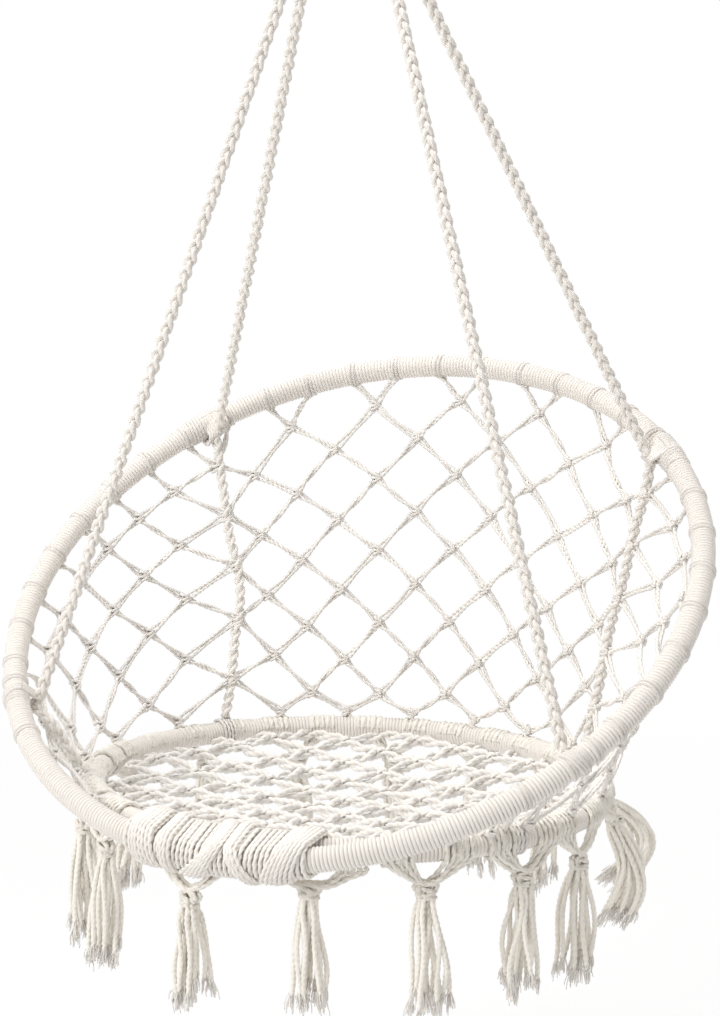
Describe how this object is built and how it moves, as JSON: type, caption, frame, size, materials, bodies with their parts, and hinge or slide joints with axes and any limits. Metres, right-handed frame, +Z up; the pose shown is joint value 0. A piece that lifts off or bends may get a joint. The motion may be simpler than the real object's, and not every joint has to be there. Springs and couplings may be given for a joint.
{
  "type": "hammock chair",
  "caption": "Macramé hammock chair: a large wrapped back ring and a smaller seat ring with knotted cord nets, hung by doubled ropes, fringed with tassels.",
  "frame": {"origin": "inside top of the hanging ring, where a hook bears", "axes": "+X across the chair to a viewer's right when facing it, +Y to its back, +Z up"},
  "size_m": [0.7996, 0.6651, 1.2546],
  "materials": {
    "ring_steel": "bare, plated",
    "tube_steel": "bare, hidden under the wrap",
    "wrap_cotton": "cream cotton cord, wound close",
    "rope_cotton": "cream braided cotton rope",
    "net_cotton": "cream twisted cotton cord, knotted",
    "tassel_cotton": "cream twisted cotton cord, frayed ends"
  },
  "bodies": {
    "hanger": {"hanging_ring": "ring_steel"},
    "frame": {"rope_eye_left": "rope_cotton", "rope_eye_right": "rope_cotton", "whipping_left": "rope_cotton", "whipping_right": "rope_cotton", "rope_front_left": "rope_cotton", "rope_front_right": "rope_cotton", "rope_rear_left": "rope_cotton", "rope_rear_right": "rope_cotton", "rope_hitch_rear_left": "rope_cotton", "rope_hitch_rear_right": "rope_cotton", "rope_tie_front_left": "rope_cotton", "rope_tie_front_right": "rope_cotton", "stay_rear_left": "rope_cotton", "stay_rear_right": "rope_cotton", "stay_front_left": "rope_cotton", "stay_front_right": "rope_cotton", "front_binding": "rope_cotton", "back_ring_tube": "tube_steel", "back_ring_wrap": "wrap_cotton", "back_net": "net_cotton"},
    "seat": {"seat_ring_tube": "tube_steel", "seat_ring_wrap": "wrap_cotton", "seat_net": "net_cotton", "tassel_01": "tassel_cotton", "tassel_02": "tassel_cotton", "tassel_03": "tassel_cotton", "tassel_04": "tassel_cotton", "tassel_05": "tassel_cotton", "tassel_06": "tassel_cotton", "tassel_07": "tassel_cotton", "tassel_08": "tassel_cotton", "tassel_09": "tassel_cotton", "tassel_10": "tassel_cotton", "tassel_11": "tassel_cotton", "tassel_12": "tassel_cotton", "tassel_13": "tassel_cotton", "tassel_14": "tassel_cotton", "tassel_15": "tassel_cotton", "tassel_16": "tassel_cotton"}
  },
  "joints": [
    {"name": "swing_fore_aft", "type": "hinge", "parent": "hanger", "child": "frame", "pos_m": [0, 0, -0.0622], "axis": [1, 0, 0], "range_deg": [-30, 30]},
    {"name": "seat_fold", "type": "hinge", "parent": "frame", "child": "seat", "pos_m": [0, -0.265, -1.0794], "axis": [1, 0, 0], "range_deg": [0, 36], "deforming": ["back_net", "stay_rear_left", "stay_rear_right", "stay_front_left", "stay_front_right", "front_binding"]}
  ]
}
